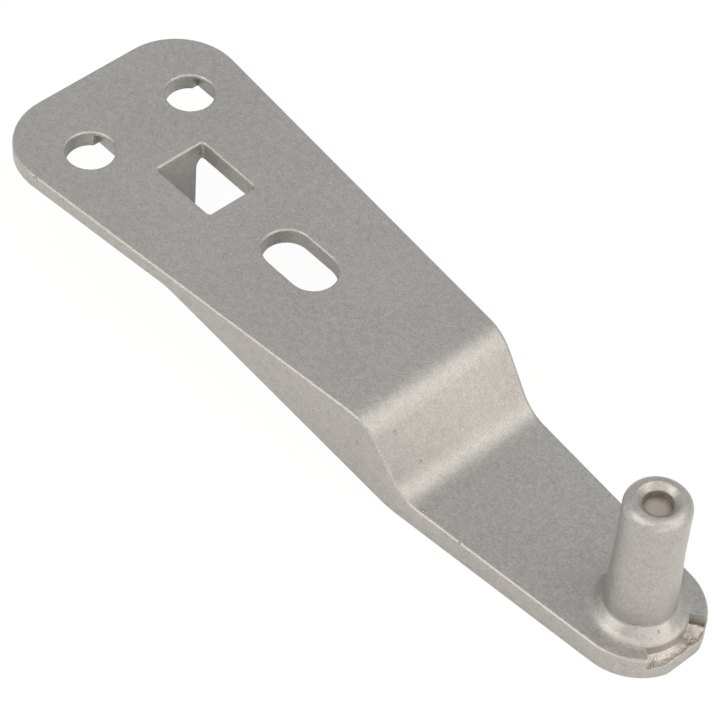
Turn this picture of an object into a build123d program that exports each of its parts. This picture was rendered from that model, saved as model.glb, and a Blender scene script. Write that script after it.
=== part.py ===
"""Fridge door hinge: one stainless casting with a mounting plate, a stepped arm and an upright pin.

The origin is on the pin's axis, in the plane of the arm's flat underside.
+X runs from the plate to the pin, +Z points up along the pin, and Y = 0 is the plane of symmetry.
All sizes are in millimetres, and a reach is a distance from the pin's axis along the arm.
"""
import os
from math import atan2, cos, sin, tan, radians

from build123d import *

# Heights of the section
arm_thickness = 4.3
step_rise = 10.35
plate_thickness = 2.85

# Plan of the casting
tip_r = 9.95
hole_reach = 110.9
plate_margin = 13.3
plate_corner_r = 10.7
plate_corner_spacing = 19.05

# Step between the plate and the arm
step_reach = 43.75
step_run = 8.1
upper_bend_r = 6.5
lower_bend_r = 6.0

# Side ribs that grow out of the plate and run into the arm, and the pocket between them
rib_reach = 83.8
rib_foot_reach = 38.1
rib_thickness = 3.0
rib_blend_r = 12.0
web_thickness = 4.2
pocket_corner_r = 1.5
rib_root_r = 1.0

# Screw holes, with a keyed relief below a thin round lip
hole_r = 3.86
hole_pitch = 20.0
hole_lip = 0.6
key_width = 5.3
key_length = 7.8

# Tab window, with its cast draft, and adjusting slot; each gap is the metal left along the plate
window_gap = 9.4
window_length = 12.4
window_width = 9.25
window_corner_r = 0.7
window_draft = 7.0
slot_gap = 8.9
slot_length = 13.5
slot_width = 7.85

# Locating tab under the plate, flush with the far wall of its window
tab_width = 6.3
tab_thickness = 3.0
tab_root_r = 1.6
tab_edge_r = 0.4

# Hinge pin: a true journal over a tapered root, with a shallow tapered bore in its crown
pin_height = 24.05
journal_r = 5.0
pin_crown_r = 1.7
root_height = 14.0
root_r = 5.4
bore_r = 2.1
bore_floor_r = 1.45
bore_depth = 2.2
bore_mouth_r = 1.0

# Conical seat collar at the foot of the pin
collar_height = 1.9
collar_r = 7.05
collar_blend_r = 2.0
root_blend_r = 0.7

# Sunken gate in the tip, with the ground-off flat in front of it
gate_flat_reach = 9.3
gate_wall_r = 7.5
gate_half_angle = 37.0
gate_ledge_height = 3.0
gate_lip_r = 8.6
gate_stub_drop = 1.1
gate_gap_angle = 7.5
gate_gap_height = 1.4

# Cast edges
edge_r = 0.5
rim_r = 0.45

# Room that a cutting shape takes beyond the faces it cuts, and the most that an upright wall may lean
overshoot = 5.0
wall_lean = 0.01

plate_top = arm_thickness + step_rise
plate_under = plate_top - plate_thickness
plate_end = -(hole_reach + plate_margin)
pin_top = arm_thickness + pin_height
window_reach = hole_reach - window_gap - window_length / 2
slot_reach = window_reach - (window_length + slot_length) / 2 - slot_gap


def plan_outline(inset=0.0):
    """Plan of the casting drawn in by inset: a hull over two corner discs and the tip disc."""
    discs = [Circle(tip_r - inset)]
    for side in (-1, 1):
        corner = Pos(plate_end + plate_corner_r, side * plate_corner_spacing / 2)
        discs.append(corner * Circle(plate_corner_r - inset))
    return make_hull([edge for disc in discs for edge in disc.edges()])


def profile(points, radii):
    """Face over a closed run of points, with a radius at each corner that radii names by index."""
    face = make_face(Polyline(*points, close=True))
    for index, radius in radii.items():
        corner = face.vertices().sort_by_distance(points[index])[0]
        face = fillet(corner, radius)
    return face


def across(section):
    """Solid over an XZ section that reaches past both sides of the casting."""
    half_width = plate_corner_spacing / 2 + plate_corner_r + overshoot
    return extrude(Plane.XZ * section, amount=half_width, both=True)


def upright(plan, low, high):
    """Solid over a plan between two heights."""
    return extrude(Pos(0, 0, low) * plan, amount=high - low)


def make_blank():
    """Plate, step, arm and wedge-shaped sides, with the cast edge radius all round."""
    section = profile(
        [
            (plate_end - overshoot, plate_top),
            (-step_reach, plate_top),
            (-step_reach + step_run, arm_thickness),
            (tip_r + overshoot, arm_thickness),
            (tip_r + overshoot, 0),
            (-rib_foot_reach, 0),
            (-rib_reach, plate_under),
            (plate_end - overshoot, plate_under),
        ],
        {1: upper_bend_r, 2: lower_bend_r, 5: rib_blend_r, 6: rib_blend_r},
    )
    blank = across(section) & upright(plan_outline(), -overshoot, plate_top + overshoot)
    walls = blank.faces().filter_by(lambda face: abs(face.normal_at().Z) < wall_lean)
    rims = walls.edges().filter_by(Axis.Z, reverse=True)
    return fillet(rims, edge_r)


def make_pocket():
    """Space between the ribs: under the plate, and behind a web of even thickness."""
    slope = atan2(step_rise, step_run)
    run_per_drop = step_run / step_rise
    web_x = -step_reach - web_thickness * sin(slope)
    web_z = plate_top - web_thickness * cos(slope)
    section = profile(
        [
            (-rib_reach - overshoot, plate_under),
            (web_x + (web_z - plate_under) * run_per_drop, plate_under),
            (web_x + (web_z + overshoot) * run_per_drop, -overshoot),
            (-rib_reach - overshoot, -overshoot),
        ],
        {1: pocket_corner_r},
    )
    pocket = across(section) & upright(plan_outline(rib_thickness), -overshoot, plate_top)
    sides = pocket.faces().sort_by(Axis.Y)
    for side in (sides[0], sides[-1]):
        long_edges = side.edges().filter_by(Axis.Z, reverse=True).sort_by(Axis.Z)
        pocket = fillet(long_edges[1:], rib_root_r)
    return pocket


def make_pin():
    """Pin and collar as one turned shape, from the arm's underside to the bored crown."""
    half = profile(
        [
            (0, 0),
            (collar_r + collar_blend_r, 0),
            (collar_r + collar_blend_r, arm_thickness),
            (collar_r, arm_thickness),
            (root_r, arm_thickness + collar_height),
            (journal_r, arm_thickness + root_height),
            (journal_r, pin_top),
            (bore_r, pin_top),
            (bore_floor_r, pin_top - bore_depth),
            (0, pin_top - bore_depth),
        ],
        {3: collar_blend_r, 4: root_blend_r, 6: pin_crown_r, 7: bore_mouth_r},
    )
    return revolve(Plane.XZ * half, Axis.Z)


def make_tab():
    """Locating tab that hangs from the plate to the level of the arm's underside, flared at its root."""
    front_x = -window_reach - window_length / 2 + plate_thickness * tan(radians(window_draft))
    back_x = front_x - tab_thickness
    half_width = tab_width / 2
    seat_z = plate_under + plate_thickness / 2
    flare = 2 * tab_root_r
    side_view = profile(
        [
            (front_x, 0),
            (front_x, seat_z),
            (back_x - flare, seat_z),
            (back_x - flare, plate_under),
            (back_x, plate_under),
            (back_x, 0),
        ],
        {0: tab_edge_r, 4: tab_root_r, 5: tab_edge_r},
    )
    front_view = profile(
        [
            (half_width, 0),
            (half_width, plate_under),
            (half_width + flare, plate_under),
            (half_width + flare, seat_z),
            (-half_width - flare, seat_z),
            (-half_width - flare, plate_under),
            (-half_width, plate_under),
            (-half_width, 0),
        ],
        {0: tab_edge_r, 1: tab_root_r, 6: tab_root_r, 7: tab_edge_r},
    )
    return across(side_view) & extrude(Plane.YZ * front_view, amount=plate_end - overshoot)


def make_openings():
    """Round holes over their keyed reliefs, the adjusting slot and the tab window."""
    low = plate_under - overshoot
    high = plate_top + overshoot
    slot = Pos(-slot_reach, 0) * SlotOverall(slot_length, slot_width)
    growth = 2 * overshoot * tan(radians(window_draft))
    window = RectangleRounded(window_length + growth, window_width + growth, window_corner_r)
    window = Pos(-window_reach, 0, high) * window
    openings = [upright(slot, low, high)]
    openings.append(extrude(window, amount=high - low, dir=(0, 0, -1), taper=window_draft))
    for side in (-1, 1):
        centre = Pos(-hole_reach, side * hole_pitch / 2)
        openings.append(upright(centre * Circle(hole_r), low, high))
        openings.append(upright(centre * Rectangle(key_width, key_length), low, plate_top - hole_lip))
    return openings


def gate_wedge(start, end):
    """Wedge about the pin's axis between two angles, through the whole height of the casting."""
    reach = (tip_r + overshoot) / cos(radians(gate_half_angle))
    corners = [(reach * cos(radians(angle)), reach * sin(radians(angle))) for angle in (start, end)]
    return upright(make_face(Polyline((0, 0), *corners, close=True)), -overshoot, pin_top)


def gate_ring(inner_r, low):
    """Everything of the tip outside a radius and above a height."""
    return upright(Circle(tip_r + overshoot) - Circle(inner_r), low, pin_top)


def make_gate_cuts():
    """Recess where the casting was fed, round the sloping stub left in it, and the flat ground off the tip."""
    whole = gate_wedge(-gate_half_angle, gate_half_angle)
    beside_stub = gate_wedge(gate_half_angle - gate_gap_angle, gate_half_angle)
    stub_slope = make_face(
        Polyline(
            (gate_lip_r, gate_ledge_height),
            (tip_r, gate_ledge_height - gate_stub_drop),
            (tip_r + overshoot, gate_ledge_height - gate_stub_drop),
            (tip_r + overshoot, gate_ledge_height),
            close=True,
        )
    )
    ledge = gate_ring(gate_wall_r, gate_ledge_height) & whole
    slope = revolve(Plane.XZ * stub_slope, Axis.Z) & whole
    gap = gate_ring(gate_wall_r, gate_gap_height) & beside_stub
    flat = Pos(gate_flat_reach + overshoot / 2, 0, 0) * Box(overshoot, 2 * tip_r, 2 * pin_top)
    return [ledge, slope, gap, flat]


os.makedirs("parts", exist_ok=True)
hinge_bracket = make_blank() - make_pocket() - make_openings()
plate_face = hinge_bracket.faces().sort_by(Axis.Z)[-1]
hinge_bracket = fillet([edge for wire in plate_face.inner_wires() for edge in wire.edges()], rim_r)
hinge_bracket += [make_tab(), make_pin()]
hinge_bracket -= make_gate_cuts()
export_step(hinge_bracket, "parts/hinge_bracket.step")
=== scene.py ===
import math

import bmesh
import bpy
from mathutils import Euler, Matrix, Vector, noise
from mathutils.bvhtree import BVHTree
from mathutils.interpolate import poly_3d_calc


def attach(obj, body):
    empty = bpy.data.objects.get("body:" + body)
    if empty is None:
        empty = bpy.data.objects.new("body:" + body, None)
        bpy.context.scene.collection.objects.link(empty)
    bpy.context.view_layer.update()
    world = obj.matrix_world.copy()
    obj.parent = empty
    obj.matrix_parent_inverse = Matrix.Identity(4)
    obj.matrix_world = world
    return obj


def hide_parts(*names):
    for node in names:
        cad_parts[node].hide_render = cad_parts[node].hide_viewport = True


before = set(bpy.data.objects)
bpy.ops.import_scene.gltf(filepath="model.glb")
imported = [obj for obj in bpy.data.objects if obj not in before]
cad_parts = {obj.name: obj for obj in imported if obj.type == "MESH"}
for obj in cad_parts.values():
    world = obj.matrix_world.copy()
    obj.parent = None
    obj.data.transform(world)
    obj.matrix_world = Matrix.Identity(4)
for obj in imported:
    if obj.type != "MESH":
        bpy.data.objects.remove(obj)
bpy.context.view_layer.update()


# Hinge casting: plate, step, arm, collar and pin in one piece of stainless steel.
# It is poured in a ceramic mould, shot-blasted to a fine satin grain and left bare,
# so small pits stay on its faces and the broken feeder stays rough in the tip.
mm = 0.001
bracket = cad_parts["hinge_bracket"]
metal = bmesh.new()
metal.from_mesh(bracket.data)
bmesh.ops.remove_doubles(metal, verts=metal.verts, dist=2e-8)
casting_mesh = bpy.data.meshes.new("hinge_casting")
metal.to_mesh(casting_mesh)
metal.free()
casting_mesh.attributes.remove(casting_mesh.attributes["custom_normal"])
casting = bpy.data.objects.new("hinge_casting", casting_mesh)
bpy.context.scene.collection.objects.link(casting)
cuts = bmesh.new()


# Pits: small hollows that the mould left in the faces, each one half an egg pressed into the metal.
# A row gives where it lies in millimetres, the way its face looks,
# and its half width, half length and depth.
top = (0, 0, 1)
near_wall = (0.09, -1, 0)
step_face = (0.79, 0, 0.62)
for place, facing, size in (
    ((-81.4, 7.3, 14.65), top, (0.34, 0.3, 0.25)),
    ((-82.5, 14.0, 14.65), top, (0.22, 0.2, 0.12)),
    ((-82.5, -12.7, 14.65), top, (0.16, 0.16, 0.08)),
    ((-60.6, -5.4, 14.65), top, (0.3, 0.26, 0.22)),
    ((-114.8, 0.8, 14.65), top, (0.16, 0.2, 0.1)),
    ((-58.9, -15.34, 13.2), near_wall, (0.3, 0.3, 0.25)),
    ((-61.6, -15.59, 9.2), near_wall, (0.3, 0.25, 0.25)),
    ((-53.3, -14.83, 8.9), near_wall, (0.34, 0.3, 0.25)),
    ((-44.6, -14.03, 9.3), near_wall, (0.3, 0.65, 0.25)),
    ((-41.3, -9.85, 11.6), step_face, (0.3, 0.42, 0.25)),
    ((-37.7, -7.7, 6.9), step_face, (0.22, 0.3, 0.15)),
    ((-46.2, 1.4, 14.61), top, (0.25, 0.35, 0.2)),
    ((-32.0, -12.2, 4.28), (0, -0.3, 1), (0.34, 0.3, 0.3)),
    ((5.74, -8.12, 2.9), (0.57, -0.82, 0), (0.35, 0.28, 0.25)),
    ((5.65, -1.95, 5.52), (0.71, -0.28, 0.64), (0.14, 0.3, 0.2)),
    ((3.44, -4.14, 6.5), (0.65, -0.76, 0.1), (0.5, 0.25, 0.1)),
    ((1.77, -8.88, 4.3), top, (0.2, 0.2, 0.2)),
    ((4.73, -1.6, 26.2), (0.94, -0.33, 0), (0.2, 0.14, 0.15)),
    ((-111.7, -20.2, 14.2), (0.09, -1, 0.5), (0.35, 0.6, 0.4)),
    ((-24.5, -12.1, 4.14), (0.07, -0.75, 0.65), (0.25, 0.2, 0.2)),
):
    made = bmesh.ops.create_icosphere(cuts, subdivisions=3, radius=mm)
    turned = Vector(facing).to_track_quat("Z", "Y").to_matrix().to_4x4()
    stand = Matrix.Translation(Vector(place) * mm) @ turned @ Matrix.Diagonal((*size, 1))
    bmesh.ops.transform(cuts, verts=made["verts"], matrix=stand)


# Crown: the blind bore in the top of the pin and the dish round its mouth, as the mould's core left them.
# The profile runs from the middle of the floor up the wall and out over the dish,
# in millimetres from the pin's axis and above the arm's underside.
about_pin = {"cent": (0, 0, 0), "axis": (0, 0, 1)}
bore_floor = ((0, 26.1), (1.92, 26.1), (2.02, 26.13), (2.08, 26.22))
bore_wall = ((2.12, 26.6), (2.16, 27), (2.2, 27.4), (2.27, 27.54), (2.38, 27.66))
dish = ((2.7, 27.95), (2.92, 28.14), (3.04, 28.23), (3.12, 28.283), (3.2, 28.326), (3.27, 28.36))
lid = ((3.27, 29), (0, 29))
crown = bore_floor + bore_wall + dish + lid
corners = [cuts.verts.new((reach * mm, 0, height * mm)) for reach, height in crown]
sides = [cuts.edges.new(pair) for pair in zip(corners, corners[1:])]
bmesh.ops.spin(cuts, geom=corners + sides, angle=math.tau, steps=96, use_merge=True, **about_pin)
bmesh.ops.remove_doubles(cuts, verts=cuts.verts, dist=1e-7)


# Gate: where the steel was fed in at the tip, and where the feeder was broken off when it was cold.
# Its room is filled up first, and the wall, the rough bed with its tooth and the lip are cut out of that.
# Sizes are in millimetres, and the runs of stops go round the tip in degrees or outwards from the pin.
tip_r = 9.95
flat_reach = 9.3
room_r = 7.2
room_low = 1
room_inset = 0.005
wall_r = 7.45
wall_top = 3.9
wall_low = 3.1
wall_rungs = 8
heel = 0.05
bed_r = 7.55
bed_end = 10
bed_level = 3
bed_rungs = 32
edge_r = 0.2
cutter_r = 11
cutter_top = 6
foot_heights = (
    (-37, 2.45), (-8, 2.45), (0, 2.35), (10, 2.1), (20, 1.6), (25, 1.7), (32.5, 2.75), (34, 2.75),
    (34.8, 2.2),
)
bed_slopes = ((-37, 0.34), (0, 0.34), (12, 0.12), (25, 0))
lip_heights = (
    (-37, 2.3), (-30, 2.4), (-20, 2.5), (-10, 2.5), (-3, 2.4), (2, 2.2), (6, 2.3), (10, 2.5), (20, 2.35),
    (28, 2.4), (33, 2.6),
)
lip_start = 0.5
lip_end = 0.3
lip_wave = 0.06
wall_wave = 0.03
cast_roughness = 0.018
broken_roughness = 0.12
broken_outwards = ((7.9, 0), (8.6, 1))
broken_round = ((21, 1), (27, 0.3))


def tip_bar(mesh, section, half_angle, steps):
    """Closed bar round the tip over a section of (reach, height) corners; returns its vertices."""
    known = set(mesh.verts)
    corners = [mesh.verts.new((reach * mm, 0, height * mm)) for reach, height in section]
    face = mesh.faces.new(corners)
    start = Matrix.Rotation(math.radians(-half_angle), 3, "Z")
    bmesh.ops.rotate(mesh, verts=corners, cent=(0, 0, 0), matrix=start)
    swept = [face, *face.edges, *corners]
    bmesh.ops.spin(mesh, geom=swept, angle=math.radians(2 * half_angle), steps=steps, **about_pin)
    return [vert for vert in mesh.verts if vert not in known]


def along(stops, at):
    """Value of a run of (place, value) stops at a place between them."""
    for (start, low), (end, high) in zip(stops, stops[1:]):
        if at <= end:
            return low + (high - low) * max(0, at - start) / (end - start)
    return stops[-1][1]


def bed_height(outward, reach, angle, foot, border):
    """Height of the bed at a reach: it slopes off its foot, is rough and ends in the lip's round edge."""
    spot = outward * reach
    height = foot - along(bed_slopes, angle) * (reach - bed_r)
    broken = along(broken_outwards, reach) * along(broken_round, angle)
    rough = cast_roughness + broken_roughness * broken
    height += rough * (noise.noise(spot * 1.3) + noise.noise(spot * 3.3))
    lip = along(lip_heights, angle) + lip_wave * noise.noise(spot * 2)
    height += (lip - height) * along(((border - lip_start, 0), (border - lip_end, 1)), reach)
    over = max(0, reach - border + edge_r)
    return height - edge_r + math.sqrt(max(0, edge_r * edge_r - over * over))


filling = bmesh.new()
room_end = tip_r - room_inset
room = ((room_r, room_low), (room_r, wall_top), (room_end, wall_top), (room_end, room_low))
for vert in tip_bar(filling, room, half_angle=37.5, steps=60):
    if vert.co.xy.length > bed_r * mm:
        vert.co.xy *= min(1, (flat_reach - room_inset) * mm / vert.co.x)

rim = (
    (7.13, cutter_top), (7.13, 4.49), (7.25, 4.415), (7.34, 4.335), (7.4, 4.24), (7.435, 4.13),
    (wall_r, 4.02),
)
rung = (wall_top - wall_low) / wall_rungs
wall = [(wall_r, wall_top - rung * count) for count in range(wall_rungs + 1)]
bed = [(bed_r + (bed_end - bed_r) * count / bed_rungs, bed_level) for count in range(bed_rungs + 1)]
cutter = [*rim, *wall, *bed, (cutter_r, bed_level), (cutter_r, cutter_top)]
for vert in tip_bar(cuts, cutter, half_angle=37.3, steps=150):
    outward = Vector((vert.co.x, vert.co.y, 0)).normalized()
    angle = math.degrees(math.atan2(outward.y, outward.x))
    reach = vert.co.xy.length / mm
    height = vert.co.z / mm
    if height > wall_top + heel:
        continue
    foot = along(foot_heights, angle)
    if reach < (wall_r + bed_r) / 2:
        reach += wall_wave * noise.noise(Vector((angle * 0.6, height * 0.4, 0)))
        height = foot + heel + (height - wall_low) * (wall_top - heel - foot) / (wall_top - wall_low)
    else:
        border = min(tip_r, flat_reach / outward.x)
        inner = bed_r + (border - bed_r) * min(1, (reach - bed_r) / (bed_end - bed_r))
        height = bed_height(outward, inner, angle, foot, border)
        if reach < (bed_end + cutter_r) / 2:
            reach = inner
    vert.co = (outward * reach + Vector((0, 0, height))) * mm


# Fettling: the gate's room is joined to the casting, and then all the hollows are cut in one go.
# Slivers and folded faces along the seams of the cuts come off, as a file takes off a burr.
seam = 1.5e-7
tools = []
for name, shape, operation in (("filling", filling, "UNION"), ("cuts", cuts, "DIFFERENCE")):
    bmesh.ops.recalc_face_normals(shape, faces=shape.faces)
    tool_mesh = bpy.data.meshes.new(name)
    shape.to_mesh(tool_mesh)
    shape.free()
    tool = bpy.data.objects.new(name, tool_mesh)
    bpy.context.scene.collection.objects.link(tool)
    tools.append(tool)
    work = casting.modifiers.new(name, "BOOLEAN")
    work.object = tool
    work.operation = operation
    work.solver = "EXACT"
worked = casting.evaluated_get(bpy.context.evaluated_depsgraph_get())
cut_mesh = bpy.data.meshes.new_from_object(worked)
casting.modifiers.clear()
casting.data = cut_mesh
for tool in tools:
    bpy.data.objects.remove(tool)
metal = bmesh.new()
metal.from_mesh(cut_mesh)
bmesh.ops.remove_doubles(metal, verts=metal.verts, dist=seam)
bmesh.ops.dissolve_degenerate(metal, edges=metal.edges, dist=seam)
bmesh.ops.triangulate(metal, faces=metal.faces)
same_corners = {}
for face in metal.faces:
    same_corners.setdefault(frozenset(face.verts), []).append(face)
folded = [face for faces in same_corners.values() if len(faces) > 1 for face in faces]
bmesh.ops.delete(metal, geom=folded, context="FACES")
metal.to_mesh(cut_mesh)
metal.free()


# Skin: the drawn surfaces keep the true normals of the solid, so they run smoothly into each other.
# The pits, the crown and the gate have their own normals behind a sharp rim.
on_surface = 5e-7
same_facing = 0.995
source = bracket.data
places = [vert.co for vert in source.vertices]
drawn = BVHTree.FromPolygons(places, [polygon.vertices for polygon in source.polygons])
cut_mesh.shade_smooth()
cut_mesh.set_sharp_from_angle(angle=math.radians(30))
normals = [normal.vector.copy() for normal in cut_mesh.corner_normals]
for polygon in cut_mesh.polygons:
    for index in polygon.loop_indices:
        place = cut_mesh.vertices[cut_mesh.loops[index].vertex_index].co
        near = drawn.find_nearest_range(place, on_surface)
        best = max(near, key=lambda hit: hit[1].dot(polygon.normal), default=None)
        if best and best[1].dot(polygon.normal) > same_facing:
            face = source.polygons[best[2]]
            shares = poly_3d_calc([places[vertex] for vertex in face.vertices], place)
            known = [source.corner_normals[corner].vector for corner in face.loop_indices]
            blended = sum((share * normal for share, normal in zip(shares, known)), Vector())
            normals[index] = blended.normalized()
cut_mesh.normals_split_custom_set(normals)


class Wire:
    """A shader socket that takes part in Python expressions."""

    def __init__(self, tree, socket):
        self.tree = tree
        self.socket = socket

    def node(self, kind, settings, inputs, output=0):
        """Adds a node, sets it up, feeds its sockets and returns one of its outputs."""
        added = self.tree.nodes.new(kind)
        for name, value in settings.items():
            setattr(added, name, value)
        for name, value in inputs.items():
            if isinstance(value, Wire):
                self.tree.links.new(value.socket, added.inputs[name])
            else:
                added.inputs[name].default_value = value
        return Wire(self.tree, added.outputs[output])

    def math(self, operation, *others):
        return self.node("ShaderNodeMath", {"operation": operation}, dict(enumerate((self, *others))))

    def __add__(self, other):
        return self.math("ADD", other)

    __radd__ = __add__

    def __mul__(self, other):
        return self.math("MULTIPLY", other)

    __rmul__ = __mul__

    def __sub__(self, other):
        return self.math("SUBTRACT", other)

    def __rsub__(self, other):
        return self * -1 + other

    def between(self, low, high, soft):
        """1 where the value lies from low to high, with soft limits."""
        span = {"interpolation_type": "SMOOTHSTEP"}
        rise = self.node("ShaderNodeMapRange", span, {0: self, 1: low - soft, 2: low + soft})
        fall = self.node("ShaderNodeMapRange", span, {0: self, 1: high - soft, 2: high + soft})
        return rise - fall

    def noise(self, scale, detail):
        return self.node("ShaderNodeTexNoise", {}, {"Vector": self, "Scale": scale, "Detail": detail})

    def mix(self, share, first, second):
        return self.node("ShaderNodeMix", {"data_type": "RGBA"}, {0: share, 6: first, 7: second}, 2)


def cast_stainless():
    """Satin cast steel with a blasted grain, paler in the gate and the bore, brown on the stub and darker
    brown on the bore's walls.
    """
    material = bpy.data.materials.new("cast_stainless")
    material.use_nodes = True
    tree = material.node_tree
    shader = tree.nodes["Principled BSDF"]
    at = Wire(tree, tree.nodes.new("ShaderNodeTexCoord").outputs["Object"])
    x, y, z = (at.node("ShaderNodeSeparateXYZ", {}, {0: at}, axis) for axis in range(3))

    # Where the gate, its stub, the bore and the corner round the bore's floor lie
    far = 1
    gate_turn = 0.655
    stub_turn = 0.42
    reach = (x * x + y * y).math("SQRT")
    turn = y.math("ARCTAN2", x)
    gate = reach.between(7.4 * mm, 9.65 * mm, 0.05 * mm) * x.between(5 * mm, 9.1 * mm, 0.05 * mm)
    gate = gate * turn.between(-gate_turn, gate_turn, 0.004) * z.between(mm, 4.1 * mm, 0.1 * mm)
    stub = gate * reach.between(8.5 * mm, far, 0.1 * mm) * turn.between(-far, stub_turn, 0.05)
    bore = reach.between(-far, 2.3 * mm, 0.05 * mm) * z.between(25 * mm, 27.5 * mm, 0.1 * mm)
    corner = reach.between(1.6 * mm, far, 0.5 * mm)
    # Brown on the stub, and the same brown on the bore, much more on its walls than on its floor, so the
    # walls come out darker
    browned = stub * 0.5 + bore * (corner * 0.75 + 0.15)
    pale = gate * 0.6 + bore * 0.5

    # The blasted grain, the coarser peel of the mould and faint clouds
    grain = at.noise(3600, 2)
    peel = at.noise(900, 2)
    cloud = at.noise(60, 2)
    tone = grain * 0.62 + peel * 0.26 + cloud * 0.12
    steel = at.mix(tone, (0.145, 0.147, 0.143, 1), (0.49, 0.493, 0.477, 1))
    bare = at.mix(pale, steel, (0.46, 0.435, 0.405, 1))
    # The brown that the stub and the bore's walls take
    scale = at.mix(peel, (0.13, 0.113, 0.095, 1), (0.33, 0.3, 0.262, 1))
    colour = at.mix(browned, bare, scale)
    tree.links.new(colour.socket, shader.inputs["Base Color"])
    shader.inputs["Metallic"].default_value = 0.7
    rough = grain * 0.14 + 0.35 + browned * 0.12
    tree.links.new(rough.socket, shader.inputs["Roughness"])
    height = grain * 0.6 + peel * (0.6 + stub)
    bump = at.node("ShaderNodeBump", {}, {"Strength": 0.6, "Distance": 0.06 * mm, "Height": height})
    tree.links.new(bump.socket, shader.inputs["Normal"])
    return material


casting.data.materials.clear()
casting.data.materials.append(cast_stainless())
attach(casting, "root")
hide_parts("hinge_bracket")


# Floor: a wide pale sheet just under the part, bright enough to read as white.
# It still takes the part's shadow, which darkens the walls of the holes.
floor_gap = 0.2 * mm
sheet = bmesh.new()
bmesh.ops.create_grid(sheet, x_segments=1, y_segments=1, size=2)
floor_mesh = bpy.data.meshes.new("floor")
sheet.to_mesh(floor_mesh)
sheet.free()
floor = bpy.data.objects.new("floor", floor_mesh)
bpy.context.scene.collection.objects.link(floor)
floor.location.z = -floor_gap
floor_material = bpy.data.materials.new("white_floor")
floor_material.use_nodes = True
floor_tree = floor_material.node_tree
paper = floor_tree.nodes["Principled BSDF"]
paper.inputs["Base Color"].default_value = (0.9, 0.9, 0.9, 1)
paper.inputs["Roughness"].default_value = 0.9
matt = Wire(floor_tree, paper.outputs[0])
ray = floor_tree.nodes.new("ShaderNodeLightPath")
seen = Wire(floor_tree, ray.outputs["Is Camera Ray"])
mirrored = Wire(floor_tree, ray.outputs["Is Glossy Ray"])
passed = Wire(floor_tree, ray.outputs["Is Transmission Ray"])
glow = seen.node("ShaderNodeEmission", {}, {"Strength": 1})
share = seen * 0.95 + (mirrored + passed) * 0.2
white = seen.node("ShaderNodeMixShader", {}, {0: share, 1: matt, 2: glow})
floor_tree.links.new(white.socket, floor_tree.nodes["Material Output"].inputs["Surface"])
floor.data.materials.append(floor_material)


# Studio: an even white surround and five large, warm softboxes that look at the middle of the part.
# A row gives a lamp's turn from the arm's direction and its height, both in degrees,
# then its width and length in metres, its power in watts and its tint.
world = bpy.data.worlds.new("studio")
bpy.context.scene.world = world
world.use_nodes = True
surround = world.node_tree.nodes["Background"]
surround.inputs["Color"].default_value = (1, 1, 1, 1)
surround.inputs["Strength"].default_value = 0.77
bpy.context.scene.view_settings.view_transform = "Standard"
middle = Vector((-0.055, 0, 0.01))
lamp_distance = 1.2
for name, turn, height, width, length, power, tint in (
    ("right_softbox", 38, 53, 0.9, 0.9, 5.4, (1, 0.91, 0.81)),
    ("low_softbox", 13, 18, 0.7, 0.7, 3.9, (1, 0.84, 0.77)),
    ("corner_softbox", -42, 58, 0.8, 0.8, 2.6, (1, 0.75, 0.65)),
    ("low_corner_softbox", -30, 12, 0.8, 0.7, 2.7, (1, 0.95, 0.9)),
    ("front_softbox", -107, 38, 0.8, 1.1, 8.5, (1, 0.9, 0.82)),
):
    lamp = bpy.data.lights.new(name, "AREA")
    lamp.shape = "RECTANGLE"
    lamp.size = width
    lamp.size_y = length
    lamp.energy = power
    lamp.color = tint
    softbox = bpy.data.objects.new(name, lamp)
    bpy.context.scene.collection.objects.link(softbox)
    swing = Matrix.Rotation(math.radians(turn), 3, "Z") @ Matrix.Rotation(math.radians(-height), 3, "Y")
    away = swing @ Vector((1, 0, 0))
    stand = Matrix.Translation(middle + lamp_distance * away)
    softbox.matrix_world = stand @ away.to_track_quat("Z", "Y").to_matrix().to_4x4()


# Camera: a long lens half a metre from the part, above the near side of the pin's end.
# It looks down along the arm to the plate and is turned a little about its own axis.
camera_data = bpy.data.cameras.new("camera")
camera_data.sensor_width = 36
camera_data.lens = 169.845
camera_data.clip_start = 0.01
camera = bpy.data.objects.new("camera", camera_data)
bpy.context.scene.collection.objects.link(camera)
camera_place = Vector((0.174168, -0.239727, 0.389143))
camera_turn = Euler([math.radians(angle) for angle in (40.9074, -3.2298, 47.9567)])
camera.matrix_world = Matrix.LocRotScale(camera_place, camera_turn, None)
bpy.context.scene.camera = camera
